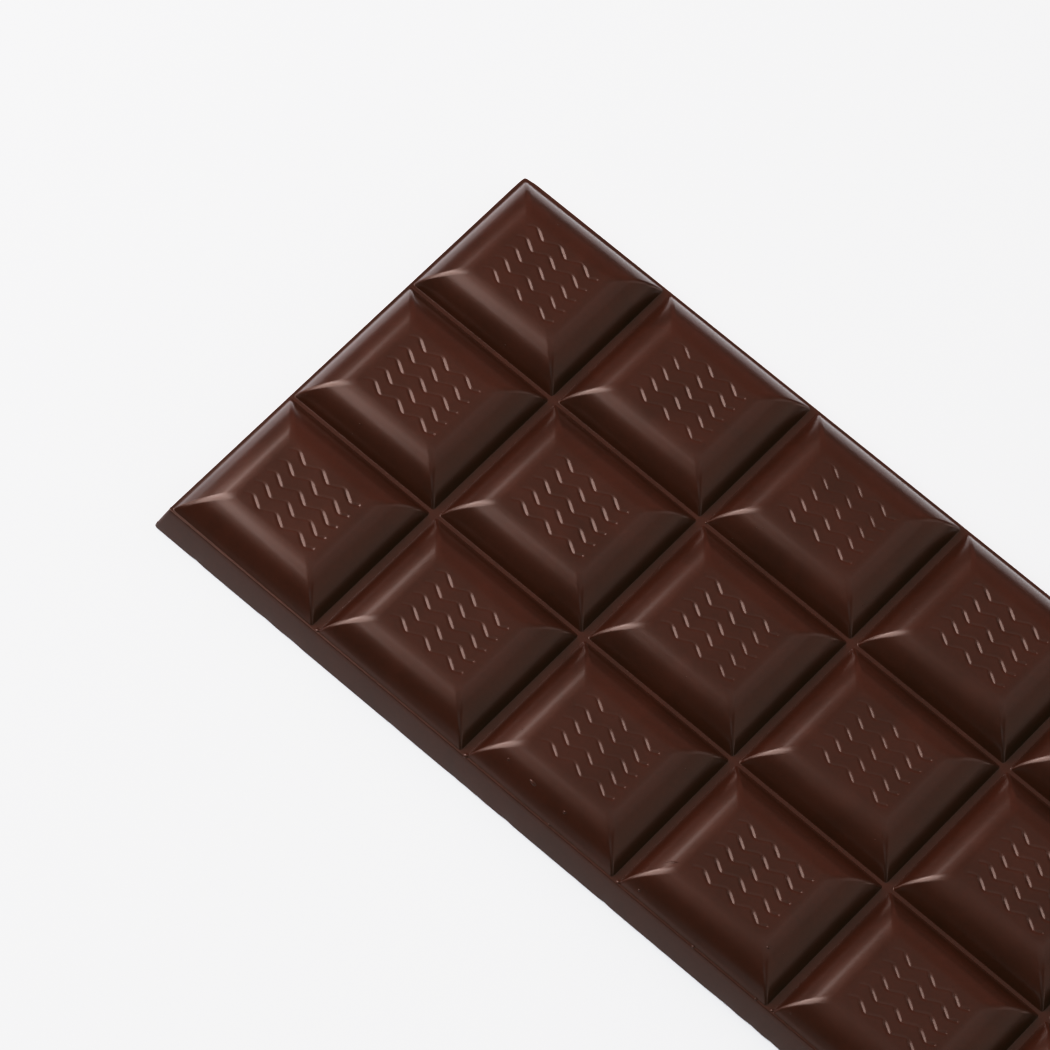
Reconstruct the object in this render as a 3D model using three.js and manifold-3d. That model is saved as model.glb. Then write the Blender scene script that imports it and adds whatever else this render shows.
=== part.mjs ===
// A dark chocolate bar of one piece: a slab with drafted sides that carries six rows of
// three pillow-shaped pads. Narrow flat strips, where the bar breaks, part the pads, and
// a fine ledge runs round them. The flat top of each pad has five wavy grooves.
// Millimetres, +Z up. The origin is the middle of the flat underside, and X runs along the bar.

import * as THREE from 'three';
import { mergeVertices } from 'three/addons/utils/BufferGeometryUtils.js';
import Module from 'manifold-3d';

// Layout of the pads
const ROWS = 6;
const COLUMNS = 3;
const ROW_PITCH = 22;
const COLUMN_PITCH = 19.6;
const CROSS_STRIP = 0.9;
const LONG_STRIP = 0.5;
const LEDGE = 0.17;

// Slab: its sides lean out towards the underside, as a mould needs
const SLAB_HEIGHT = 3.5;
const SIDE_DRAFT = 1.48;
const END_DRAFT = 1.08;
const CORNER_RADIUS = 0.5;
const CORNER_STEPS = 3;

// Pads: a flat top whose border falls to the strips on an arc of one radius
const PAD_RISE = 3.05;
const PILLOW_RADIUS = 5.6;
const PILLOW_STEPS = 14;
const PAD_ROOT = 1;

// Wavy grooves with a V section
const WAVE_LINES = 5;
const WAVE_SPACING = 1.85;
const WAVE_PERIODS = 3;
const WAVE_LENGTH = 3.43;
const WAVE_HEIGHT = 0.8;
const GROOVE_WIDTH = 0.6;
const GROOVE_DEPTH = 0.12;

// Sizes that follow from these
const PAD_LENGTH = ROW_PITCH - CROSS_STRIP;
const PAD_WIDTH = COLUMN_PITCH - LONG_STRIP;
const TOP_LENGTH = ROWS * ROW_PITCH - CROSS_STRIP + 2 * LEDGE;
const TOP_WIDTH = COLUMNS * COLUMN_PITCH - LONG_STRIP + 2 * LEDGE;
const BASE_LENGTH = TOP_LENGTH + 2 * END_DRAFT;
const BASE_WIDTH = TOP_WIDTH + 2 * SIDE_DRAFT;
const BAR_HEIGHT = SLAB_HEIGHT + PAD_RISE;
const BORDER = Math.sqrt(PILLOW_RADIUS ** 2 - (PILLOW_RADIUS - PAD_RISE) ** 2);

const wasm = await Module();
wasm.setup();

/** Makes a solid from a closed three.js geometry. */
function toSolid(geometry) {
  const bare = geometry.index ? geometry.toNonIndexed() : geometry.clone();
  bare.deleteAttribute('normal');
  bare.deleteAttribute('uv');
  const merged = mergeVertices(bare, 1e-5);
  return new wasm.Manifold(new wasm.Mesh({
    numProp: 3,
    vertProperties: merged.attributes.position.array,
    triVerts: Uint32Array.from(merged.index.array),
  }));
}

/** Turns a solid back into a three.js geometry. */
function toGeometry(solid) {
  const mesh = solid.getMesh();
  const geometry = new THREE.BufferGeometry();
  geometry.setAttribute('position', new THREE.BufferAttribute(mesh.vertProperties, 3));
  geometry.setIndex(new THREE.BufferAttribute(mesh.triVerts, 1));
  geometry.computeVertexNormals();
  return geometry;
}

/** A rectangle about the origin, with rounded corners where a radius is given. */
function rectangle(length, width, radius = 0) {
  const x = length / 2 - radius;
  const y = width / 2 - radius;
  const shape = new THREE.Shape();
  if (radius === 0) {
    return shape.moveTo(-x, -y).lineTo(x, -y).lineTo(x, y).lineTo(-x, y);
  }
  shape.absarc(x, y, radius, 0, Math.PI / 2);
  shape.absarc(-x, y, radius, Math.PI / 2, Math.PI);
  shape.absarc(-x, -y, radius, Math.PI, 1.5 * Math.PI);
  shape.absarc(x, -y, radius, 1.5 * Math.PI, 2 * Math.PI);
  return shape;
}

/** The slab: the outline of the underside, raised and drawn in towards its top. */
function makeSlab() {
  const outline = rectangle(BASE_LENGTH, BASE_WIDTH, CORNER_RADIUS);
  const geometry = new THREE.ExtrudeGeometry(outline, {
    depth: SLAB_HEIGHT,
    bevelEnabled: false,
    curveSegments: CORNER_STEPS,
  });
  const position = geometry.attributes.position;
  for (let i = 0; i < position.count; i += 1) {
    const rise = position.getZ(i) / SLAB_HEIGHT;
    position.setX(i, position.getX(i) - Math.sign(position.getX(i)) * END_DRAFT * rise);
    position.setY(i, position.getY(i) - Math.sign(position.getY(i)) * SIDE_DRAFT * rise);
  }
  return toSolid(geometry);
}

/** One pad, its flat top at Z = 0 and its border round: a whole pillow, still to be halved. */
function makePad() {
  const top = rectangle(PAD_LENGTH - 2 * BORDER, PAD_WIDTH - 2 * BORDER);
  const geometry = new THREE.ExtrudeGeometry(top, {
    depth: 0,
    bevelThickness: PILLOW_RADIUS,
    bevelSize: PILLOW_RADIUS,
    bevelSegments: PILLOW_STEPS,
  });
  geometry.translate(0, 0, -PILLOW_RADIUS);
  return toSolid(geometry);
}

/** The turning points of one wave: it starts and ends on its middle line. */
function waveCorners() {
  const turns = 2 * WAVE_PERIODS;
  const corners = [new THREE.Vector2(0, 0)];
  for (let turn = 0; turn < turns; turn += 1) {
    const side = turn % 2 === 0 ? 1 : -1;
    corners.push(new THREE.Vector2((turn + 0.5) * WAVE_LENGTH / 2, side * WAVE_HEIGHT / 2));
  }
  corners.push(new THREE.Vector2(turns * WAVE_LENGTH / 2, 0));
  return corners;
}

/** The body that one groove is cut with: a V-shaped bar that follows the wave, keel down. */
function makeCutter() {
  const middle = WAVE_PERIODS * WAVE_LENGTH / 2;
  const corners = waveCorners();
  const positions = corners.flatMap(({ x, y }) => [
    x - middle, y + GROOVE_WIDTH / 2, 0,
    x - middle, y, -GROOVE_DEPTH,
    x - middle, y - GROOVE_WIDTH / 2, 0,
  ]);
  const faces = [0, 1, 2];
  for (let start = 0; start < positions.length / 3 - 3; start += 3) {
    for (let edge = 0; edge < 3; edge += 1) {
      const a = start + edge;
      const b = start + (edge + 1) % 3;
      faces.push(a, a + 3, b + 3, a, b + 3, b);
    }
  }
  const last = positions.length / 3 - 3;
  faces.push(last + 2, last + 1, last);
  const geometry = new THREE.BufferGeometry();
  geometry.setAttribute('position', new THREE.Float32BufferAttribute(positions, 3));
  geometry.setIndex(faces);
  return toSolid(geometry);
}

/** The middles of pads or lines that stand at one pitch about the origin. */
function centred(count, pitch) {
  return Array.from({ length: count }, (_, i) => (i - (count - 1) / 2) * pitch);
}

/** A solid made about the middle of a pad's top, copied to the top of every pad. */
function onEachPad(solid) {
  const places = centred(ROWS, ROW_PITCH).flatMap((x) => (
    centred(COLUMNS, COLUMN_PITCH).map((y) => [x, y, BAR_HEIGHT])
  ));
  return wasm.Manifold.union(places.map((place) => solid.translate(place)));
}

/** The five grooves of one pad. */
function makeWaves() {
  const cutter = makeCutter();
  const lines = centred(WAVE_LINES, WAVE_SPACING).map((y) => cutter.translate([0, y, 0]));
  return wasm.Manifold.union(lines);
}

/** The whole bar: the pads rooted in the slab as one solid, then their grooves. */
function makeBar() {
  const kept = new THREE.BoxGeometry(BASE_LENGTH, BASE_WIDTH, 2 * BAR_HEIGHT);
  kept.translate(0, 0, BAR_HEIGHT + SLAB_HEIGHT - PAD_ROOT);
  const pads = onEachPad(makePad()).intersect(toSolid(kept));
  return makeSlab().add(pads).subtract(onEachPad(makeWaves()));
}

const chocolate = new THREE.MeshStandardMaterial({
  color: 0x3e2019,
  roughness: 0.34,
  metalness: 0,
});

const bar = new THREE.Mesh(toGeometry(makeBar()), chocolate);
bar.name = 'chocolate_bar';

const model = new THREE.Group();
model.add(bar);

export default model;
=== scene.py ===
"""A bar of dark chocolate on a pale table: its moulded surface, finish, light and camera.

Everything is in metres, +Z up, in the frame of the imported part: the origin is the middle of
the flat underside, and X runs along the bar.
"""

import logging
import math
from dataclasses import dataclass, field
from enum import Enum
from functools import cached_property

import bmesh
import bpy
import numpy as np
from mathutils import Matrix, Quaternion, Vector
from mathutils.bvhtree import BVHTree
from mathutils.geometry import delaunay_2d_cdt


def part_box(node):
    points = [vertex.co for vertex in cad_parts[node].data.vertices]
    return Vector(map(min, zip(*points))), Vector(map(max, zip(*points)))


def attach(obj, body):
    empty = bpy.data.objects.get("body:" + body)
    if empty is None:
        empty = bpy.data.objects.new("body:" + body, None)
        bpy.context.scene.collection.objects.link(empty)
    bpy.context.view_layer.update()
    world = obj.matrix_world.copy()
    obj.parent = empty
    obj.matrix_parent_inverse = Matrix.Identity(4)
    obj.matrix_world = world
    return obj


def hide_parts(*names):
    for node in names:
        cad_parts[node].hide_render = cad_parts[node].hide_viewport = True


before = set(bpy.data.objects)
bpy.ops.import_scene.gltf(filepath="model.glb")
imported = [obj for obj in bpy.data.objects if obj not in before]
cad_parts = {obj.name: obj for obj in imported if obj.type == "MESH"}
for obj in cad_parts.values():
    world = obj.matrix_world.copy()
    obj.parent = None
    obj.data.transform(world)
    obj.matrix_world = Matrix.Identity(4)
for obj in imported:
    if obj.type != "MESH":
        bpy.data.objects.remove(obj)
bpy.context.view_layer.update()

CAD_NODE = "chocolate_bar"
BODY = "root"
MM = 0.001
CLOSENESS = 1e-6  # what counts as no distance at all
FILL_TRIANGLES = 0  # asks a fill for triangles, also over its holes
SIDES = 4
MIDDLE = (0.3, 0.7)  # where most of a cloudy pattern's values lie
UP = Vector((0, 0, 1))

# Tints of the lights
MILD = (1, 0.92, 0.88)
WARM = (1, 0.55, 0.48)
COOL = (0.6, 0.9, 1)

log = logging.getLogger("chocolate_bar")


class Facing(Enum):
    """Which way the faces of a flat fill look."""

    UP = "up"
    DOWN = "down"


def placed_object(name: str, data: bpy.types.ID) -> bpy.types.Object:
    """Makes an object of a mesh, light or camera and links it to the scene.

    Args:
        name: Name of the object.
        data: The mesh, light or camera.

    Returns:
        The object.
    """
    made = bpy.data.objects.new(name, data)
    bpy.context.scene.collection.objects.link(made)
    return made


# ---------------------------------------------------------------- shapes


def rounded_rectangle(length: float, width: float, radius: float, steps: int) -> np.ndarray:
    """Gives the outline of a rectangle about the origin, anticlockwise, with round corners.

    Args:
        length: Size along X.
        width: Size along Y.
        radius: Radius of the corners.
        steps: Segments in each corner.

    Returns:
        The points, one row each.
    """
    signs = np.array([[1, 1], [-1, 1], [-1, -1], [1, -1]])
    centres = signs * [length / 2 - radius, width / 2 - radius]
    corners = []
    for quarter, centre in enumerate(centres):
        angles = math.pi / 2 * (quarter + np.linspace(0, 1, steps + 1))
        corners.append(centre + radius * np.column_stack([np.cos(angles), np.sin(angles)]))
    return np.concatenate(corners)


def divided(outline: np.ndarray, counts: tuple[int, int]) -> np.ndarray:
    """Adds points along the four sides of a rounded rectangle.

    Args:
        outline: Points of the outline, whose longest steps are its four sides.
        counts: How many steps a side along X and a side along Y is cut into.

    Returns:
        The outline with the points added, in the same order.
    """
    following = np.roll(outline, -1, axis=0)
    steps = following - outline
    longest = set(np.argsort(np.linalg.norm(steps, axis=1))[-SIDES:])
    parts = []
    for index, (start, step) in enumerate(zip(outline, steps)):
        count = 1
        if index in longest:
            count = counts[0] if abs(step[0]) > abs(step[1]) else counts[1]
        parts.append(start + np.outer(np.arange(count) / count, step))
    return np.concatenate(parts)


def inside(outline: np.ndarray, points: np.ndarray) -> np.ndarray:
    """Tells which points lie inside a closed outline, by counting the edges to one side of them.

    Args:
        outline: Points of the outline.
        points: The points that are asked about, one row each.

    Returns:
        A truth value for each point.
    """
    x, y = points[:, :1], points[:, 1:]
    start, end = outline, np.roll(outline, -1, axis=0)
    crosses = (start[:, 1] > y) != (end[:, 1] > y)
    rise = np.where(crosses, end[:, 1] - start[:, 1], 1)
    meets = start[:, 0] + (y - start[:, 1]) * (end[:, 0] - start[:, 0]) / rise
    return (crosses & (meets > x)).sum(axis=1) % 2 == 1


class MeshDraft:
    """Points and faces of a mesh that is being put together from lofts and flat fills."""

    def __init__(self) -> None:
        """Starts empty."""
        self.points: list[tuple[float, float, float]] = []
        self.faces: list[tuple[int, ...]] = []

    def add_grid(self, rows: np.ndarray, closed: bool) -> None:
        """Adds quads between neighbouring rows of points.

        Args:
            rows: Points as an array of rows, points in a row, and three coordinates.
            closed: Whether each row runs round to its first point.
        """
        count, across = rows.shape[:2]
        start = len(self.points)
        self.points.extend(map(tuple, rows.reshape(-1, 3)))
        last = across if closed else across - 1
        for row in range(count - 1):
            for i in range(last):
                a = start + row * across + i
                b = start + row * across + (i + 1) % across
                self.faces.append((a, b, b + across, a + across))

    def add_fill(
        self, outlines: list[np.ndarray], height: float, facing: Facing = Facing.UP
    ) -> None:
        """Fills the flat area between a first outline and the holes inside it.

        Args:
            outlines: The outer outline, then those of the holes, each a closed loop.
            height: Height of the fill.
            facing: Which way its faces look.
        """
        corners, edges = [], []
        for outline in outlines:
            start, count = len(corners), len(outline)
            corners.extend(Vector(point / MM) for point in outline)
            edges.extend((start + i, start + (i + 1) % count) for i in range(count))
        points, _, faces, *_ = delaunay_2d_cdt(corners, edges, [], FILL_TRIANGLES, CLOSENESS)
        flat = np.array(points) * MM
        middles = flat[np.array(faces)].mean(axis=1)
        open_to_sky = inside(outlines[0], middles)
        for hole in outlines[1:]:
            open_to_sky &= ~inside(hole, middles)
        first = len(self.points)
        self.points.extend((x, y, height) for x, y in flat)
        for face, kept in zip(faces, open_to_sky):
            if kept:
                order = face if facing is Facing.UP else reversed(face)
                self.faces.append(tuple(first + i for i in order))

    def to_object(self, name: str, material: bpy.types.Material) -> bpy.types.Object:
        """Makes the finished mesh object in its material and links it to the scene.

        Args:
            name: Name of the mesh and its object.
            material: Its only material.

        Returns:
            The object.
        """
        mesh = bpy.data.meshes.new(name)
        mesh.from_pydata(self.points, [], self.faces)
        mesh.validate()
        mesh.materials.append(material)
        return placed_object(name, mesh)


@dataclass(frozen=True)
class Waves:
    """The wavy grooves on the flat top of a pad: V-shaped, and pressed deepest where they fall."""

    lines: int = 5
    spacing: float = 1.848 * MM
    periods: int = 3
    wavelength: float = 3.43 * MM
    swing: float = 0.42 * MM
    crest_sharpness: float = 0.93
    half_width: float = 0.33 * MM
    depth: float = 0.105 * MM
    shoulder: float = 1.4
    offset: tuple[float, float] = (0.04 * MM, -0.06 * MM)
    rise_press: float = 0.2
    end_press: float = 0.5
    stroke: tuple[tuple[float, float], ...] = (
        (0.27, 0), (0.34, 0.65), (0.42, 1), (0.61, 1), (0.69, 0.8), (0.75, 0)
    )
    thinning: float = 0.12
    steps_per_period: int = 14
    end_steps: int = 3
    section: tuple[float, ...] = (0.0, 0.14, 0.32, 0.55, 0.78, 1.0, 1.2)

    def press(self) -> np.ndarray:
        """Gives how deep each point of a wave is pressed, as a share of the full depth.

        Returns:
            One share for each point of the middle line.
        """
        share = np.linspace(0, self.periods, self.periods * self.steps_per_period + 1)
        places, amounts = zip(*self.stroke)
        press = self.rise_press + (1 - self.rise_press) * np.interp(share % 1, places, amounts)
        press[-2:] = self.end_press
        return press

    def middle_line(self) -> tuple[np.ndarray, np.ndarray]:
        """Follows one wave with its rounded ends.

        Returns:
            The points of the line, and for each the unit vector to its left.
        """
        turns = np.linspace(0, 2 * math.pi * self.periods, self.periods * self.steps_per_period + 1)
        along = turns / (2 * math.pi) * self.wavelength
        sharp = self.crest_sharpness
        across = self.swing * np.arcsin(sharp * np.sin(turns)) / math.asin(sharp)
        points = np.column_stack([along - along[-1] / 2, across])
        forward = np.gradient(points, axis=0)
        forward /= np.linalg.norm(forward, axis=1)[:, None]
        return points, np.column_stack([-forward[:, 1], forward[:, 0]])

    def rows(self, centre: tuple[float, float], height: float) -> np.ndarray:
        """Gives the rows of points across one groove, from end to end.

        Args:
            centre: Middle of the groove.
            height: Height of the flat top that it is cut in.

        Returns:
            The points as an array of rows, points in a row, and three coordinates.
        """
        points, left = self.middle_line()
        press = self.press()
        share = np.array([-u for u in reversed(self.section[1:])] + list(self.section))
        drop = self.depth * np.clip(1 - np.abs(share), 0, 1) ** self.shoulder
        turns = np.arange(self.end_steps, 0, -1) / self.end_steps * math.pi / 2
        back = [(points[0], left[0], -turn, press[0]) for turn in turns]
        body = [(point, side, 0.0, amount) for point, side, amount in zip(points, left, press)]
        front = [(points[-1], left[-1], turn, press[-1]) for turn in reversed(turns)]
        made = []
        for point, side, turn, amount in [*back, *body, *front]:
            forward = np.array([side[1], -side[0]])
            spread = np.outer(share, side * math.cos(turn))
            spread += np.outer(abs(share), forward * math.sin(turn))
            reach = self.half_width * (1 - self.thinning * (1 - amount))
            flat = point + centre + spread * reach
            made.append(np.column_stack([flat, height - drop * amount]))
        return np.array(made)[:, ::-1]

    def outline(self, rows: np.ndarray) -> np.ndarray:
        """Gives the outline of one groove, anticlockwise, from its rows of points."""
        right, left = rows[:-1, -1, :2], rows[:0:-1, 0, :2]
        return np.concatenate([right, left])

    def centres(self) -> list[tuple[float, float]]:
        """Gives the middle of each groove on a pad."""
        places = (np.arange(self.lines) - (self.lines - 1) / 2) * self.spacing
        return [(self.offset[0], self.offset[1] + place) for place in places]


@dataclass(frozen=True)
class Pad:
    """A pillow-shaped pad: a flat top whose border falls on an arc to the breaking strips."""

    length: float
    width: float
    rise: float
    arc_radius: float = 5.6 * MM
    foot_radius: float = 0.09 * MM
    foot_corner: float = 0.3 * MM
    shoulder_corner: float = 0.85 * MM
    arc_steps: int = 22
    foot_steps: int = 5
    corner_steps: int = 8
    foot_guard: float = 0.02 * MM
    crown_slope: float = math.radians(2)
    waves: Waves = field(default_factory=Waves)

    @property
    def foot_slope(self) -> float:
        """Angle at which the border meets the strips."""
        return math.acos(1 - self.rise / self.arc_radius)

    @property
    def foot_spread(self) -> float:
        """How far the rounding at the foot reaches out over the strip."""
        return self.foot_radius * math.tan(self.foot_slope / 2)

    def ring(self, inset: float, height: float, slope: float) -> np.ndarray:
        """Gives the points of one level line of the pad.

        Args:
            inset: Distance in from the foot.
            height: Height above the strips.
            slope: Angle of the surface there, which sets how round the corners are.

        Returns:
            The points, one row each.
        """
        gentle = 1 - math.sin(slope) / math.sin(self.foot_slope)
        corner = self.foot_corner + (self.shoulder_corner - self.foot_corner) * gentle
        if inset < 0:
            corner = self.foot_corner - inset
        flat = rounded_rectangle(
            self.length - 2 * inset, self.width - 2 * inset, corner, self.corner_steps
        )
        return np.column_stack([flat, np.full(len(flat), height)])

    def rings(self) -> np.ndarray:
        """Gives every level line, from the strips up to the flat top.

        Returns:
            The points as an array of level lines, points in a line, and three coordinates.
        """
        steep = self.foot_slope
        made = [self.ring(-self.foot_spread - self.foot_guard, 0, steep)]
        for slope in np.linspace(0, steep, self.foot_steps + 1)[:-1]:
            inset = self.foot_radius * math.sin(slope) - self.foot_spread
            made.append(self.ring(inset, self.foot_radius * (1 - math.cos(slope)), steep))
        blend = self.foot_radius * (1 - math.cos(steep))
        start = math.acos(math.cos(steep) + blend / self.arc_radius)
        for slope in np.linspace(start, self.crown_slope, self.arc_steps + 1):
            inset = self.arc_radius * (math.sin(steep) - math.sin(slope))
            height = self.arc_radius * (math.cos(slope) - math.cos(steep))
            made.append(self.ring(inset, height, slope))
        made[-1][:, 2] = self.rise
        return np.array(made)

    def foot_outline(self) -> np.ndarray:
        """Gives the outline where the pad meets the strips."""
        return self.rings()[0][:, :2]

    def build(self, material: bpy.types.Material) -> bpy.types.Object:
        """Makes the open shell of one pad about the origin, standing on Z = 0.

        Args:
            material: The material of the bar.

        Returns:
            The shell.
        """
        draft = MeshDraft()
        rings = self.rings()
        draft.add_grid(rings, closed=True)
        outlines = [rings[-1][:, :2]]
        for centre in self.waves.centres():
            rows = self.waves.rows(centre, self.rise)
            draft.add_grid(rows, closed=False)
            outlines.append(self.waves.outline(rows))
        draft.add_fill(outlines, self.rise)
        return draft.to_object("pad_shell", material)


@dataclass(frozen=True)
class Wear:
    """How uneven the sides of the slab are: small nicks at its foot, and a softer front edge."""

    seed: int = 11
    nicks: int = 90
    nick_width: tuple[float, float] = (0.3 * MM, 1.3 * MM)
    nick_depth: tuple[float, float] = (0.01 * MM, 0.08 * MM)
    nick_height: float = 0.45 * MM
    front_push: float = 0.11 * MM
    front_reach: float = 0.55 * MM
    front_curve: float = 1.4
    front_drop: float = 0.012 * MM

    def nick_in(self, outline: np.ndarray) -> np.ndarray:
        """Gives how far each point of an outline is pressed in by the nicks near it.

        Args:
            outline: Points of the foot of the slab, in order.

        Returns:
            One distance for each point.
        """
        steps = np.linalg.norm(np.diff(outline, axis=0, prepend=outline[-1:]), axis=1)
        along = np.cumsum(steps)
        around = along[-1]
        rng = np.random.default_rng(self.seed)
        pressed = np.zeros(len(outline))
        for _ in range(self.nicks):
            away = np.abs(along - rng.uniform(0, around))
            away = np.minimum(away, around - away)
            width = rng.uniform(*self.nick_width)
            pressed += rng.uniform(*self.nick_depth) * np.exp(-((away / width) ** 2))
        return np.minimum(pressed, self.nick_depth[1])

    def wear_rings(self, rings: np.ndarray, height: float) -> np.ndarray:
        """Moves the points of the level lines of a slab in.

        Args:
            rings: Points of each level line; the first lies in the underside.
            height: Height of the slab.

        Returns:
            The worn level lines.
        """
        widest = rings[:, :, 0].max(axis=1).argmax()
        outline = rings[widest, :, :2]
        forward = np.roll(outline, -1, axis=0) - np.roll(outline, 1, axis=0)
        inward = np.column_stack([-forward[:, 1], forward[:, 0]])
        inward /= np.linalg.norm(inward, axis=1)[:, None]
        fade = np.exp(-((rings[1:, :, 2] / self.nick_height) ** 2))
        worn = rings.copy()
        worn[1:, :, :2] += inward * (fade * self.nick_in(outline))[:, :, None]
        share = np.clip((rings[:, :, 2] - height) / self.front_reach + 1, 0, 1)
        worn[:, :, 1] += self.front_push * share**self.front_curve * np.clip(inward[:, 1], 0, 1)
        return worn

    def lower_front(self, points: np.ndarray, foot: float, height: float) -> None:
        """Makes the front ledge fall towards the edge.

        Args:
            points: Points of the bar, one row each; their heights are changed.
            foot: The Y where the front pads meet the ledge.
            height: Height of the ledge.
        """
        near = np.clip((points[:, 2] - height) / self.front_reach + 1, 0, 1)
        near[points[:, 2] > height + CLOSENESS] = 0
        out = np.clip((foot - points[:, 1]) / self.front_push, 0, 1)
        points[:, 2] -= self.front_drop * near * out


@dataclass(frozen=True)
class Slab:
    """The slab under the pads: breaking strips, a fine ledge, drafted sides, a flat underside."""

    base_length: float
    base_width: float
    top_length: float
    top_width: float
    height: float
    base_shift: tuple[float, float]
    wear: Wear
    top_corner: float = 0.3 * MM
    base_corner: float = 0.4 * MM
    edge_radius: float = 0.08 * MM
    base_radius: float = 0.12 * MM
    edge_guard: float = 0.02 * MM
    wall_guard: float = 0.1 * MM
    base_guard: float = 0.01 * MM
    edge_steps: int = 4
    corner_steps: int = 6
    side_steps: tuple[int, int] = (260, 120)
    wall_steps: int = 4

    @property
    def wall_slope(self) -> float:
        """Angle between a side's face and the horizontal."""
        return math.atan2(self.height, (self.base_length - self.top_length) / 2)

    def ring(self, outset: float, height: float) -> np.ndarray:
        """Gives one level line of the sides.

        Args:
            outset: Distance out from the sharp top edge.
            height: Height above the table.

        Returns:
            The points, one row each.
        """
        share = min(max(1 - height / self.height, 0), 1)
        corner = self.top_corner + (self.base_corner - self.top_corner) * share
        sideways = (self.base_width - self.top_width) / (self.base_length - self.top_length)
        flat = rounded_rectangle(
            self.top_length + 2 * outset,
            self.top_width + 2 * outset * sideways,
            corner,
            self.corner_steps,
        )
        flat = divided(flat, self.side_steps) + np.array(self.base_shift) * share
        return np.column_stack([flat, np.full(len(flat), height)])

    def rings(self) -> np.ndarray:
        """Gives the level lines of the sides, from the edge of the underside up to the ledge.

        Returns:
            The points as an array of level lines, points in a line, and three coordinates.
        """
        slope = self.wall_slope
        reach = (self.base_length - self.top_length) / 2
        run = self.edge_radius * math.tan(slope / 2)
        under = math.pi - slope
        foot = self.base_radius * math.tan(under / 2)
        made = [self.ring(reach - foot - self.wall_guard, 0)]
        for turn in np.linspace(0, under, self.edge_steps + 1):
            outset = reach - foot + self.base_radius * math.sin(turn) - self.base_guard
            made.append(self.ring(outset, self.base_radius * (1 - math.cos(turn))))
        low = self.base_radius * (1 - math.cos(under)) + self.wall_guard
        high = self.height - self.edge_radius * (1 - math.cos(slope)) - self.wall_guard
        bend = self.height - self.wear.front_reach
        for height in (low, (low + bend) / 2, *np.linspace(bend, high, self.wall_steps)):
            made.append(self.ring((self.height - height) / math.tan(slope), height))
        for turn in np.linspace(slope, 0, self.edge_steps + 1):
            outset = self.edge_radius * math.sin(turn) - run
            made.append(self.ring(outset, self.height - self.edge_radius * (1 - math.cos(turn))))
        made.append(self.ring(-run - self.edge_guard, self.height))
        return self.wear.wear_rings(np.array(made), self.height)

    def build(
        self, pad_outlines: list[np.ndarray], material: bpy.types.Material
    ) -> bpy.types.Object:
        """Makes the slab as a shell that is open where each pad stands.

        Args:
            pad_outlines: The outline of the foot of every pad.
            material: The material of the bar.

        Returns:
            The shell.
        """
        draft = MeshDraft()
        rings = self.rings()
        draft.add_grid(rings, closed=True)
        draft.add_fill([rings[-1][:, :2], *pad_outlines], self.height)
        draft.add_fill([rings[0][:, :2]], 0, Facing.DOWN)
        return draft.to_object("chocolate_bar_surface", material)


# ---------------------------------------------------------------- node trees


class Wiring:
    """A node tree that is put together by short calls."""

    def __init__(self, tree: bpy.types.NodeTree) -> None:
        """Takes the tree that the nodes go into."""
        self.tree = tree

    def put(self, inlet: bpy.types.NodeSocket, value: object) -> None:
        """Links an outlet to an inlet, or sets a plain value there.

        Args:
            inlet: Where the value goes.
            value: An outlet or a plain value.
        """
        if isinstance(value, bpy.types.NodeSocket):
            self.tree.links.new(value, inlet)
        else:
            inlet.default_value = value

    def add(
        self, kind: str, inlets: dict[str | int, object] | None = None, **settings: object
    ) -> bpy.types.Node:
        """Adds a node.

        Args:
            kind: Type of the node.
            inlets: An outlet or a plain value for each inlet that is fed.
            settings: Values for the node's own properties.

        Returns:
            The node.
        """
        node = self.tree.nodes.new(kind)
        for name, value in settings.items():
            setattr(node, name, value)
        for name, value in (inlets or {}).items():
            self.put(node.inputs[name], value)
        return node

    def math(self, operation: str, *values: object) -> bpy.types.NodeSocket:
        """Gives the result of one sum on outlets or numbers."""
        return self.add("ShaderNodeMath", dict(enumerate(values)), operation=operation).outputs[0]


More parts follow.
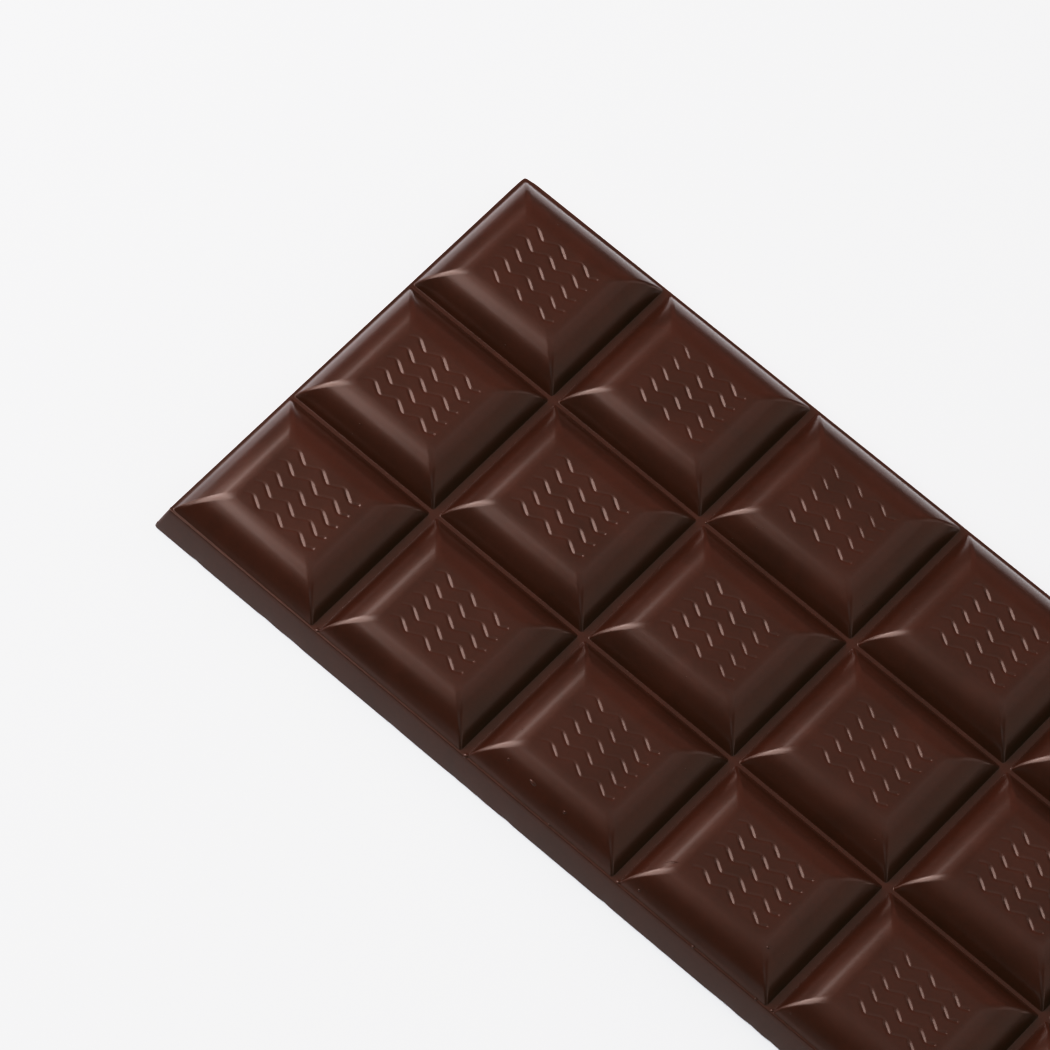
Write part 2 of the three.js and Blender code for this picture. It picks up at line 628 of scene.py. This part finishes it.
class ShapeTree(Wiring):
    """A Geometry Nodes tree with named inputs, which a modifier can set by name."""

    def __init__(self, name: str, inputs: dict[str, str]) -> None:
        """Starts a tree.

        Args:
            name: Name of the tree.
            inputs: Socket type of each named input, besides the geometry.
        """
        super().__init__(bpy.data.node_groups.new(name, "GeometryNodeTree"))
        sockets = self.tree.interface
        sockets.new_socket("Geometry", in_out="INPUT", socket_type="NodeSocketGeometry")
        sockets.new_socket("Geometry", in_out="OUTPUT", socket_type="NodeSocketGeometry")
        self.identifiers = {
            label: sockets.new_socket(label, in_out="INPUT", socket_type=kind).identifier
            for label, kind in inputs.items()
        }
        self.given = self.add("NodeGroupInput").outputs

    def geometry(self, kind: str, inlets: dict[str | int, object]) -> bpy.types.NodeSocket:
        """Adds a node whose first outlet is a geometry, and gives that outlet."""
        return self.add(kind, inlets).outputs[0]

    def join(
        self, first: bpy.types.NodeSocket, second: bpy.types.NodeSocket
    ) -> bpy.types.NodeSocket:
        """Puts two geometries into one.

        Args:
            first: A geometry.
            second: The geometry that is added to it.

        Returns:
            The two together.
        """
        node = self.add("GeometryNodeJoinGeometry", {"Geometry": first})
        self.put(node.inputs["Geometry"], second)
        return node.outputs[0]

    def end(self, geometry: bpy.types.NodeSocket) -> None:
        """Dresses the geometry in the chocolate and makes it the tree's result."""
        inlets = {"Geometry": geometry, "Material": self.given["Chocolate"]}
        self.add("NodeGroupOutput", {0: self.geometry("GeometryNodeSetMaterial", inlets)})

    def apply(self, target: bpy.types.Object, values: dict[str, object]) -> None:
        """Runs the tree on an object, which keeps what it makes as a plain mesh.

        Args:
            target: The object that goes into the tree.
            values: A value for each named input.
        """
        modifier = target.modifiers.new(self.tree.name, "NODES")
        modifier.node_group = self.tree
        for name, value in values.items():
            modifier[self.identifiers[name]] = value
        depsgraph = bpy.context.evaluated_depsgraph_get()
        mesh = bpy.data.meshes.new_from_object(target.evaluated_get(depsgraph))
        target.modifiers.remove(modifier)
        target.data = mesh


def pad_layout_tree() -> ShapeTree:
    """Makes the tree that stands a pad on every place of a slab and welds them together.

    Returns:
        The tree.
    """
    tree = ShapeTree("Pads in rows", {
        "Pad": "NodeSocketObject",
        "Rows": "NodeSocketInt",
        "Columns": "NodeSocketInt",
        "Row Pitch": "NodeSocketFloat",
        "Column Pitch": "NodeSocketFloat",
        "Slab Height": "NodeSocketFloat",
        "Weld Distance": "NodeSocketFloat",
        "Chocolate": "NodeSocketMaterial",
    })
    given = tree.given
    row_gaps = tree.math("SUBTRACT", given["Rows"], 1)
    column_gaps = tree.math("SUBTRACT", given["Columns"], 1)
    places = tree.geometry("GeometryNodeMeshGrid", {
        "Size X": tree.math("MULTIPLY", row_gaps, given["Row Pitch"]),
        "Size Y": tree.math("MULTIPLY", column_gaps, given["Column Pitch"]),
        "Vertices X": given["Rows"],
        "Vertices Y": given["Columns"],
    })
    lift = tree.add("ShaderNodeCombineXYZ", {"Z": given["Slab Height"]}).outputs[0]
    seats = tree.geometry("GeometryNodeSetPosition", {"Geometry": places, "Offset": lift})
    pad = tree.add("GeometryNodeObjectInfo", {"Object": given["Pad"]}).outputs["Geometry"]
    pads = tree.geometry("GeometryNodeInstanceOnPoints", {"Points": seats, "Instance": pad})
    solid = tree.geometry("GeometryNodeRealizeInstances", {"Geometry": pads})
    whole = tree.join(given["Geometry"], solid)
    welded = tree.geometry(
        "GeometryNodeMergeByDistance", {"Geometry": whole, "Distance": given["Weld Distance"]}
    )
    tree.end(tree.geometry("GeometryNodeSetShadeSmooth", {"Geometry": welded}))
    return tree


def crumb_tree() -> ShapeTree:
    """Makes the tree that adds a small lump to a surface at every one of some points.

    Returns:
        The tree.
    """
    tree = ShapeTree("Crumbs on a surface", {
        "Places": "NodeSocketObject",
        "Lump": "NodeSocketObject",
        "Chocolate": "NodeSocketMaterial",
    })
    points, lump = (
        tree.add("GeometryNodeObjectInfo", {"Object": tree.given[name]}).outputs["Geometry"]
        for name in ("Places", "Lump")
    )
    turn, size = (
        tree.add(
            "GeometryNodeInputNamedAttribute", {"Name": name}, data_type="FLOAT_VECTOR"
        ).outputs["Attribute"]
        for name in ("turn", "size")
    )
    seated = tree.geometry(
        "GeometryNodeInstanceOnPoints",
        {"Points": points, "Instance": lump, "Rotation": turn, "Scale": size},
    )
    solid = tree.geometry("GeometryNodeRealizeInstances", {"Geometry": seated})
    smooth = tree.geometry("GeometryNodeSetShadeSmooth", {"Geometry": solid})
    tree.end(tree.join(tree.given["Geometry"], smooth))
    return tree


# ---------------------------------------------------------------- finishes


class ShaderTree(Wiring):
    """A material whose nodes are put together by short calls; lengths are in object space."""

    def __init__(self, name: str) -> None:
        """Starts a material with its usual shader.

        Args:
            name: Name of the material.
        """
        self.material = bpy.data.materials.new(name)
        self.material.use_nodes = True
        super().__init__(self.material.node_tree)
        self.shader = self.tree.nodes["Principled BSDF"]

    @cached_property
    def place(self) -> bpy.types.NodeSocket:
        """The place that is shaded, in object space."""
        return self.add("ShaderNodeTexCoord").outputs["Object"]

    def dress(self, values: dict[str, object]) -> bpy.types.Material:
        """Finishes the material by feeding its shader.

        Args:
            values: An outlet or a plain value for each of the shader's inlets that is fed.

        Returns:
            The material.
        """
        for name, value in values.items():
            self.put(self.shader.inputs[name], value)
        return self.material

    def noise(self, size: float, detail: float, distortion: float = 0) -> bpy.types.NodeSocket:
        """Adds a cloudy pattern.

        Args:
            size: About how large a blotch is.
            detail: How many finer layers are added.
            distortion: How far the blotches are bent into swirls.

        Returns:
            The pattern, from 0 to 1.
        """
        return self.add("ShaderNodeTexNoise", {
            "Vector": self.place, "Scale": 1 / size, "Detail": detail, "Distortion": distortion
        }).outputs["Fac"]

    def height(self) -> bpy.types.NodeSocket:
        """Gives the height of the place that is shaded."""
        return self.add("ShaderNodeSeparateXYZ", {0: self.place}).outputs["Z"]

    def span(
        self, value: bpy.types.NodeSocket, source: tuple[float, float], target: tuple[float, float]
    ) -> bpy.types.NodeSocket:
        """Maps a value from one range to another, held at the ends.

        Args:
            value: What is mapped.
            source: The range that it is read in.
            target: The range that it is given in.

        Returns:
            The mapped value.
        """
        names = ("Value", "From Min", "From Max", "To Min", "To Max")
        inlets = dict(zip(names, (value, *source, *target)))
        return self.add("ShaderNodeMapRange", inlets).outputs["Result"]

    def blend(
        self, share: bpy.types.NodeSocket, first: tuple[float, ...], second: tuple[float, ...]
    ) -> bpy.types.NodeSocket:
        """Gives a colour between two."""
        inlets = {"Factor": share, "A": (*first, 1), "B": (*second, 1)}
        return self.add("ShaderNodeMix", inlets, data_type="RGBA").outputs["Result"]

    def bump(self, height: bpy.types.NodeSocket, distance: float) -> bpy.types.NodeSocket:
        """Gives the normal of a surface raised by a height from 0 to 1 of a distance."""
        inlets = {"Height": height, "Distance": distance}
        return self.add("ShaderNodeBump", inlets).outputs["Normal"]


@dataclass(frozen=True)
class DarkChocolate:
    """Well-tempered dark chocolate: a satin sheen with faint swirls and fine unevenness."""

    name: str = "tempered_dark_chocolate"
    color: tuple[float, float, float] = (0.0415, 0.0068, 0.003)
    tone_spread: float = 0.2
    swirl_size: float = 7 * MM
    swirl_bend: float = 0.8
    grain_size: float = 0.5 * MM
    grain_share: float = 0.4
    grain_relief: float = 0.004 * MM
    sag_size: float = 3.2 * MM
    sag_relief: float = 0.012 * MM
    roughness: tuple[float, float] = (0.3, 0.34)
    side_roughness: float = 0.56
    side_top: tuple[float, float] = (2.9 * MM, 3.3 * MM)
    ior: float = 1.46
    gloss: float = 0.43
    gloss_color: tuple[float, float, float] = (1, 0.67, 0.57)
    film: float = 1.0
    film_ior: float = 1.24
    film_roughness: float = 0.19

    def material(self) -> bpy.types.Material:
        """Makes the material.

        Returns:
            The material.
        """
        made = ShaderTree(self.name)
        swirls = made.noise(self.swirl_size, detail=3, distortion=self.swirl_bend)
        grain = made.noise(self.grain_size, detail=3)
        sag = made.noise(self.sag_size, detail=1)
        dark, light = (
            tuple(part * (1 + sign * self.tone_spread) for part in self.color) for sign in (-1, 1)
        )
        base = made.math("MULTIPLY", swirls, 1 - self.grain_share)
        tone = made.math("MULTIPLY_ADD", grain, self.grain_share, base)
        above = made.span(made.height(), self.side_top, (0, 1))
        sheen = made.span(swirls, MIDDLE, self.roughness)
        smoother = made.math("SUBTRACT", sheen, self.side_roughness)
        relief = made.math("MULTIPLY_ADD", grain, self.grain_relief / self.sag_relief, sag)
        return made.dress({
            "Base Color": made.blend(made.span(tone, MIDDLE, (0, 1)), dark, light),
            "Roughness": made.math("MULTIPLY_ADD", above, smoother, self.side_roughness),
            "Normal": made.bump(relief, self.sag_relief),
            "IOR": self.ior,
            "Specular IOR Level": self.gloss,
            "Specular Tint": (*self.gloss_color, 1),
            "Coat Weight": self.film,
            "Coat IOR": self.film_ior,
            "Coat Roughness": self.film_roughness,
        })


@dataclass(frozen=True)
class PaleTable:
    """A plain, matt, nearly white table."""

    name: str = "pale_table"
    color: tuple[float, float, float] = (0.85, 0.85, 0.88)
    roughness: float = 0.9

    def material(self) -> bpy.types.Material:
        """Makes the material.

        Returns:
            The material.
        """
        return ShaderTree(self.name).dress({
            "Base Color": (*self.color, 1), "Roughness": self.roughness, "Specular IOR Level": 0
        })


# ---------------------------------------------------------------- the bar


@dataclass(frozen=True)
class Rims:
    """How far the outer flanks of the outermost pads stand in from where the pitch puts them."""

    west: float = 0.16 * MM
    east: float = 0.16 * MM
    south: float = -0.06 * MM
    north: float = 0.25 * MM
    north_base: float = 0.19 * MM

    @property
    def spread(self) -> tuple[float, float]:
        """How much longer and wider the underside is laid out before the rims are drawn in."""
        return self.west + self.east, self.south + self.north - self.north_base

    @property
    def shift(self) -> tuple[float, float]:
        """Where the middle of the underside lies before the rims are drawn in."""
        return (self.east - self.west) / 2, (self.north - self.south - self.north_base) / 2

    def draw_in(self, points: np.ndarray, flat: np.ndarray, crown: np.ndarray) -> np.ndarray:
        """Moves the outer flanks in, and takes up the difference in the flat tops.

        Args:
            points: Points of the bar, one row each.
            flat: Distances from the middle, along X and Y, where the move starts.
            crown: Distances from the middle where the outer flanks start.

        Returns:
            The points in their new places.
        """
        share = np.clip((np.abs(points[:, :2]) - flat) / (crown - flat), 0, 1)
        low = np.array([self.west, self.south]) * (points[:, :2] < 0)
        high = np.array([self.east, self.north]) * (points[:, :2] > 0)
        moved = points.copy()
        moved[:, :2] += (low - high) * share
        return moved


@dataclass(frozen=True)
class OuterCorner:
    """The extra rounding of one corner of the whole bar, in millimetres.

    The pushes are how far the corner gives way at the insets, its distances in from the sides.
    """

    side: tuple[int, int]
    reach: float = 0.8
    insets: tuple[float, ...] = (0, 2, 4, 6)
    pushes: tuple[float, ...] = (0, 0, 0, 0)

    def soften(self, points: np.ndarray, half: np.ndarray) -> np.ndarray:
        """Pushes the corner of every level line in towards the middle.

        Args:
            points: Points of the bar, one row each.
            half: Half the length and width of the underside.

        Returns:
            The points in their new places.
        """
        moved = points.copy()
        local = (half - points[:, :2] * self.side) / MM
        push = np.interp(local.min(axis=1), self.insets, self.pushes) * MM
        fade = np.exp(-((np.ptp(local, axis=1) / self.reach) ** 2))
        moved[:, :2] -= (push * fade)[:, None] * self.side
        return moved


@dataclass(frozen=True)
class Crumb:
    """A small lump half sunk in the surface: its place, its size and the way it is turned."""

    place: tuple[float, float]
    size: tuple[float, float, float]
    turn: float = 0


def crumb(x: float, y: float, size: tuple[float, float, float], turn: float = 0) -> Crumb:
    """Gives a crumb whose place and size are in millimetres."""
    return Crumb((x * MM, y * MM), tuple(part * MM for part in size), turn)


@dataclass(frozen=True)
class Crumbs:
    """The crumbs, blisters and streaks on the bar: some at set places, the rest scattered."""

    placed: tuple[Crumb, ...] = (
        crumb(-21.6, -29.15, (0.42, 0.32, 0.24), 0.5),
        crumb(0.45, -29.1, (0.36, 0.28, 0.2), 0.3),
        crumb(22.35, -29.1, (0.28, 0.22, 0.16), 0.8),
        crumb(-43.6, -29.1, (0.34, 0.26, 0.18), 0.4),
        crumb(-13.6, -27.45, (0.55, 0.22, 0.2), -0.15),
        crumb(-17.34, -27.23, (0.18, 0.17, 0.1)),
        crumb(-8.81, -27.66, (0.22, 0.2, 0.14)),
        crumb(-9.54, -29.2, (0.2, 0.16, 0.14)),
        crumb(11.3, -29.3, (0.22, 0.18, 0.14)),
        crumb(20.2, -29.3, (0.2, 0.18, 0.14)),
        crumb(17.92, -24.98, (0.22, 0.2, 0.1)),
        crumb(2.89, -28.66, (0.17, 0.16, 0.11)),
        crumb(16.23, -25.3, (0.72, 0.16, 0.08), 1.6),
        crumb(3.8, -24.5, (0.68, 0.14, 0.08), 0.64),
        crumb(-21.49, 10.06, (0.2, 0.18, 0.14)),
        crumb(-21.46, 11.36, (0.16, 0.15, 0.11)),
        crumb(-66.5, -30.42, (0.2, 0.15, 0.15), 0.8),
    )
    scattered: int = 130
    seed: int = 5
    radius: tuple[float, float] = (0.03 * MM, 0.09 * MM)
    longest: float = 1.6
    flatness: tuple[float, float] = (0.5, 0.9)
    sunk: float = 0.35
    highest: float = 6.47 * MM
    edge: float = 0.9 * MM
    roundness: int = 2
    drop: float = 1

    def scatter(self, half: tuple[float, float]) -> list[Crumb]:
        """Scatters crumbs over the whole bar.

        Args:
            half: Half the length and width of the bar.

        Returns:
            The crumbs.
        """
        rng = np.random.default_rng(self.seed)
        reach = np.array(half) - self.edge
        made = []
        for _ in range(self.scattered):
            place = rng.uniform(-reach, reach)
            radius = rng.uniform(*self.radius)
            size = radius * np.array([rng.uniform(1, self.longest), 1, rng.uniform(*self.flatness)])
            made.append(Crumb(tuple(place), tuple(size), rng.uniform(0, math.pi)))
        return made

    def lump(self, material: bpy.types.Material) -> bpy.types.Object:
        """Makes the round lump of radius 1 that every crumb is a copy of.

        Args:
            material: The material of the bar.

        Returns:
            The lump.
        """
        draft = bmesh.new()
        bmesh.ops.create_icosphere(draft, subdivisions=self.roundness, radius=1)
        mesh = bpy.data.meshes.new("crumb")
        draft.to_mesh(mesh)
        draft.free()
        mesh.materials.append(material)
        return placed_object("crumb", mesh)

    def add_to(self, bar: bpy.types.Object, material: bpy.types.Material) -> None:
        """Drops every crumb onto the bar from above and makes it part of the bar's mesh.

        Args:
            bar: The bar, whose mesh gets the crumbs.
            material: Its material.
        """
        surface = BVHTree.FromPolygons(
            [point.co for point in bar.data.vertices], [face.vertices for face in bar.data.polygons]
        )
        half = tuple(max(abs(point.co[axis]) for point in bar.data.vertices) for axis in (0, 1))
        seats, turns, sizes = [], [], []
        for piece in (*self.placed, *self.scatter(half)):
            spot, normal, *_ = surface.ray_cast((*piece.place, self.drop), -UP)
            if spot is None or spot.z + piece.size[2] * (1 - self.sunk) > self.highest:
                continue
            seats.append(spot - normal * piece.size[2] * self.sunk)
            turns.append((UP.rotation_difference(normal) @ Quaternion(UP, piece.turn)).to_euler())
            sizes.append(piece.size)
        mesh = bpy.data.meshes.new("crumb_places")
        mesh.from_pydata([tuple(seat) for seat in seats], [], [])
        for name, values in (("turn", turns), ("size", sizes)):
            kept = mesh.attributes.new(name, "FLOAT_VECTOR", "POINT")
            kept.data.foreach_set("vector", np.array([tuple(value) for value in values]).ravel())
        places = placed_object("crumb_places", mesh)
        lump = self.lump(material)
        crumb_tree().apply(bar, {"Places": places, "Lump": lump, "Chocolate": material})
        for helper in (places, lump):
            bpy.data.objects.remove(helper)


@dataclass(frozen=True)
class ChocolateBar:
    """The whole bar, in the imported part's box: a slab with rows of pillow-shaped pads."""

    rows: int = 6
    columns: int = 3
    row_pitch: float = 22 * MM
    column_pitch: float = 19.6 * MM
    cross_strip: float = 0.9 * MM
    long_strip: float = 0.5 * MM
    ledge: float = 0.32 * MM
    slab_height: float = 3.5 * MM
    weld: float = 0.002 * MM
    flat_share: float = 0.9
    rims: Rims = field(default_factory=Rims)
    corners: tuple[OuterCorner, ...] = (
        OuterCorner((-1, -1), reach=1.6, insets=(1.3, 2.4, 4, 7), pushes=(0, 0.36, 0.4, 0)),
        OuterCorner((-1, 1), pushes=(0.14, 0.14, 0.14, 0)),
        OuterCorner((1, -1), pushes=(0.06, 0.16, 0.2, 0)),
        OuterCorner((1, 1), pushes=(0.1, 0.2, 0.15, 0)),
    )
    wear: Wear = field(default_factory=Wear)
    crumbs: Crumbs = field(default_factory=Crumbs)
    groove_seed: int = 3
    groove_spread: float = 0.22
    groove_level: tuple[float, float] = (-0.7, 0.7)
    groove_start: tuple[float, float] = (0, 6)
    groove_waves: float = 2
    groove_band: float = 1.2
    finish: DarkChocolate = field(default_factory=DarkChocolate)

    def pad(self) -> Pad:
        """Works out the pad from the pitch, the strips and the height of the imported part.

        Returns:
            The pad.
        """
        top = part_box(CAD_NODE)[1].z
        return Pad(
            length=self.row_pitch - self.cross_strip,
            width=self.column_pitch - self.long_strip,
            rise=top - self.slab_height,
        )

    def slab(self) -> Slab:
        """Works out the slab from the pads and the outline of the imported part.

        Returns:
            The slab.
        """
        low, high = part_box(CAD_NODE)
        more_length, more_width = self.rims.spread
        return Slab(
            base_length=high.x - low.x + more_length,
            base_width=high.y - low.y + more_width,
            top_length=self.rows * self.row_pitch - self.cross_strip + 2 * self.ledge,
            top_width=self.columns * self.column_pitch - self.long_strip + 2 * self.ledge,
            height=self.slab_height,
            base_shift=self.rims.shift,
            wear=self.wear,
        )

    def shape_outside(self, bar: bpy.types.Object, pad: Pad) -> None:
        """Gives the outermost pads and corners their own shape, by moving points of the mesh.

        Args:
            bar: The welded bar.
            pad: The pad that it carries.
        """
        last = np.array(self.places()[-1])
        crown = pad.ring(pad.arc_radius * math.sin(pad.foot_slope), pad.rise, 0)[:, :2].max(axis=0)
        count = len(bar.data.vertices)
        points = np.empty(count * 3)
        bar.data.vertices.foreach_get("co", points)
        flat = last + self.flat_share * crown
        moved = self.rims.draw_in(points.reshape(count, 3), flat, last + crown)
        low, high = moved[:, :2].min(axis=0), moved[:, :2].max(axis=0)
        moved[:, :2] -= (low + high) / 2
        for corner in self.corners:
            moved = corner.soften(moved, (high - low) / 2)
        moved[:, :2] += (low + high) / 2
        self.vary_grooves(moved, crown, pad.waves.depth)
        foot = -last[1] - pad.foot_outline()[:, 1].max() + self.rims.south
        self.wear.lower_front(moved, foot, self.slab_height)
        bar.data.vertices.foreach_set("co", moved.ravel())
        bar.data.update()

    def vary_grooves(self, points: np.ndarray, crown: np.ndarray, depth: float) -> None:
        """Makes the grooves of each pad a little deeper or shallower, and uneven along the pad.

        Args:
            points: Points of the bar, one row each; their heights are changed.
            crown: Half the length and width of a pad's flat top.
            depth: Depth of the grooves.
        """
        top = points[:, 2].max()
        grooved = (points[:, 2] < top) & (points[:, 2] > top - self.groove_band * depth)
        rng = np.random.default_rng(self.groove_seed)
        for place in self.places():
            local = (points[:, :2] - place) / crown
            here = grooved & (np.abs(local) < 1).all(axis=1)
            slant = local[here] @ rng.uniform(-1, 1, 2)
            level = rng.uniform(*self.groove_level)
            uneven = np.sin(self.groove_waves * slant + rng.uniform(*self.groove_start))
            factor = 1 + self.groove_spread * (level + uneven)
            points[here, 2] = top - (top - points[here, 2]) * factor

    def places(self) -> list[tuple[float, float]]:
        """Gives the middle of every pad.

        Returns:
            X and Y of each, row by row.
        """
        along = (np.arange(self.rows) - (self.rows - 1) / 2) * self.row_pitch
        across = (np.arange(self.columns) - (self.columns - 1) / 2) * self.column_pitch
        return [(x, y) for x in along for y in across]

    def build(self) -> bpy.types.Object:
        """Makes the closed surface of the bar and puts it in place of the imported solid.

        Returns:
            The bar.
        """
        pad = self.pad()
        chocolate = self.finish.material()
        shell = pad.build(chocolate)
        foot = pad.foot_outline()
        bar = self.slab().build([foot + place for place in self.places()], chocolate)
        pad_layout_tree().apply(bar, {
            "Pad": shell,
            "Rows": self.rows,
            "Columns": self.columns,
            "Row Pitch": self.row_pitch,
            "Column Pitch": self.column_pitch,
            "Slab Height": self.slab_height,
            "Weld Distance": self.weld,
            "Chocolate": chocolate,
        })
        bpy.data.objects.remove(shell)
        self.shape_outside(bar, pad)
        self.crumbs.add_to(bar, chocolate)
        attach(bar, BODY)
        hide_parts(CAD_NODE)
        return bar


# ---------------------------------------------------------------- the studio


def direction(azimuth: float, elevation: float) -> Vector:
    """Gives the unit vector that points in a direction.

    Args:
        azimuth: Degrees anticlockwise from +X.
        elevation: Degrees above the table.

    Returns:
        The vector.
    """
    turn, climb = math.radians(azimuth), math.radians(elevation)
    level = math.cos(climb)
    return Vector((math.cos(turn) * level, math.sin(turn) * level, math.sin(climb)))


@dataclass(frozen=True)
class SoftLight:
    """A wide, far-off soft light, seen in the gloss as a round glow."""

    name: str
    azimuth: float
    elevation: float
    spread: float
    strength: float
    color: tuple[float, float, float] = (1, 1, 1)

    def build(self) -> None:
        """Makes the light."""
        lamp = bpy.data.lights.new(self.name, "SUN")
        lamp.energy = self.strength
        lamp.angle = math.radians(self.spread)
        lamp.color = self.color
        made = placed_object(self.name, lamp)
        towards = direction(self.azimuth, self.elevation)
        made.rotation_euler = towards.to_track_quat("Z", "Y").to_euler()
        made.location = towards


@dataclass(frozen=True)
class SoftPanel:
    """One pane of a near wall of soft light; its edges are angles seen from the bar."""

    name: str
    left: float
    right: float
    low: float
    high: float
    power: float

    def build(self, wall: "LightWall") -> None:
        """Makes the pane in its place, turned to the bar.

        Args:
            wall: The wall that it is part of.
        """
        left, right, low, high = (
            wall.distance * math.tan(math.radians(edge))
            for edge in (self.left, self.right, self.low, self.high)
        )
        lamp = bpy.data.lights.new(self.name, "AREA")
        lamp.shape = "RECTANGLE"
        lamp.size, lamp.size_y = right - left, high - low
        lamp.energy = self.power
        outward = direction(wall.azimuth, wall.elevation)
        across = UP.cross(outward).normalized()
        middle = (
            outward * wall.distance
            + across * (left + right) / 2
            + outward.cross(across) * (low + high) / 2
        )
        made = placed_object(self.name, lamp)
        made.matrix_world = (
            Matrix.Translation(Vector(wall.aim) + middle)
            @ middle.to_track_quat("Z", "Y").to_matrix().to_4x4()
        )


@dataclass(frozen=True)
class LightWall:
    """The main light: a large soft wall near the end of the bar, in panes of unlike strength."""

    azimuth: float = 185
    elevation: float = 45
    distance: float = 0.75
    aim: tuple[float, float, float] = (-36 * MM, -2 * MM, 0)
    panels: tuple[SoftPanel, ...] = (
        SoftPanel("key", left=-15, right=25, low=-18, high=22, power=5.95),
        SoftPanel("key_left", left=-15, right=-5, low=-18, high=22, power=1.22),
        SoftPanel("key_right", left=5, right=15, low=-28, high=32, power=0.92),
        SoftPanel("key_low", left=-25, right=5, low=-8, high=2, power=1.0),
    )

    def build(self) -> None:
        """Makes every pane."""
        for panel in self.panels:
            panel.build(self)


@dataclass(frozen=True)
class TiltedCamera:
    """A long lens that looks down on one end of the bar, with the horizon a little tilted."""

    azimuth: float = 37.351
    elevation: float = 62.266
    roll: float = 5.341
    distance: float = 747.78 * MM
    aim: tuple[float, float, float] = (-36.976 * MM, -2.466 * MM, 0)
    lens: float = 231.46
    sensor: float = 36
    clip: tuple[float, float] = (0.05, 20)

    def build(self) -> None:
        """Makes the camera and gives it to the scene."""
        turn, climb = math.radians(self.azimuth), math.radians(self.elevation)
        back = Vector((
            math.sin(turn) * math.cos(climb), -math.cos(turn) * math.cos(climb), math.sin(climb)
        ))
        right = Vector((math.cos(turn), math.sin(turn), 0))
        up = back.cross(right)
        level = Matrix((right, up, back)).transposed()
        data = bpy.data.cameras.new("camera")
        data.lens = self.lens
        data.sensor_width = self.sensor
        data.clip_start, data.clip_end = self.clip
        made = placed_object("camera", data)
        made.matrix_world = (
            Matrix.Translation(Vector(self.aim) + back * self.distance)
            @ (level @ Matrix.Rotation(math.radians(self.roll), 3, "Z")).to_4x4()
        )
        bpy.context.scene.camera = made


@dataclass(frozen=True)
class Studio:
    """A pale table under plain soft lights, and the camera."""

    table_size: float = 6.0
    table_gap: float = 0.02 * MM
    display_gamma: float = 0.77
    room_light: float = 0.155
    key: LightWall = field(default_factory=LightWall)
    fills: tuple[SoftLight, ...] = (
        SoftLight("low_front", azimuth=180, elevation=11, spread=26, strength=0.56, color=MILD),
        SoftLight("low_back", azimuth=0, elevation=11, spread=26, strength=0.35),
        SoftLight("low_corner", azimuth=45, elevation=11, spread=26, strength=0.45, color=MILD),
        SoftLight("low_near", azimuth=270, elevation=11, spread=26, strength=0.18, color=COOL),
        SoftLight("back", azimuth=16, elevation=36, spread=45, strength=0.41, color=MILD),
        SoftLight("back_near", azimuth=330, elevation=36, spread=28, strength=0.11, color=COOL),
        SoftLight("far_side", azimuth=66, elevation=36, spread=28, strength=0.28),
        SoftLight("far_front", azimuth=118, elevation=37, spread=46, strength=0.33, color=WARM),
        SoftLight("high_far", azimuth=60, elevation=61, spread=28, strength=0.2),
        SoftLight("high_front", azimuth=108, elevation=67, spread=24, strength=0.08),
        SoftLight("high_near", azimuth=300, elevation=61, spread=28, strength=0.2, color=COOL),
        SoftLight("top", azimuth=90, elevation=84, spread=28, strength=0.16),
    )
    film_fog: tuple[float, float, float] = (0, 0.003, 0.001)
    film_curve: tuple[tuple[float, float], ...] = (
        (0, 0), (0.6, 0.6), (0.72, 0.71), (0.85, 0.8), (1.0, 0.87), (1.15, 0.91), (1.3, 0.928),
        (2.0, 0.975),
    )
    finish: PaleTable = field(default_factory=PaleTable)

    def build_table(self) -> None:
        """Makes the table top."""
        half = self.table_size / 2
        corners = [(-half, -half), (half, -half), (half, half), (-half, half)]
        mesh = bpy.data.meshes.new("table")
        mesh.from_pydata([(x, y, -self.table_gap) for x, y in corners], [], [range(SIDES)])
        mesh.materials.append(self.finish.material())
        table = placed_object("table", mesh)

    def build_surroundings(self) -> None:
        """Gives the room a dim, even light of its own and sets how tones are shown."""
        scene = bpy.context.scene
        world = bpy.data.worlds.new("room")
        world.use_nodes = True
        background = world.node_tree.nodes["Background"]
        background.inputs["Color"].default_value = (1, 1, 1, 1)
        background.inputs["Strength"].default_value = self.room_light
        scene.world = world
        scene.view_settings.view_transform = "Standard"
        scene.view_settings.gamma = self.display_gamma
        scene.view_settings.use_curve_mapping = True
        curves = scene.view_settings.curve_mapping
        brightest = self.film_curve[-1][0]
        curves.white_level = (brightest,) * 3
        *tints, film = curves.curves
        for tint, fog in zip(tints, self.film_fog):
            tint.points[0].location = (0, fog)
        for _ in self.film_curve[2:]:
            film.points.new(0.5, 0.5)
        for point, (light, shown) in zip(film.points, self.film_curve):
            point.location = (light / brightest, shown)
            point.handle_type = "VECTOR"
        curves.update()

    def build(self) -> None:
        """Makes the table, the lights and the camera."""
        self.build_table()
        self.build_surroundings()
        self.key.build()
        for light in self.fills:
            light.build()
        TiltedCamera().build()


def main() -> None:
    """Builds the bar, then the studio round it."""
    logging.basicConfig(level=logging.INFO, format="%(message)s")
    bar = ChocolateBar().build()
    triangles = sum(len(face.vertices) - 2 for face in bar.data.polygons)
    log.info("%s: %d triangles", bar.name, triangles)
    Studio().build()


if __name__ == "__main__":
    main()
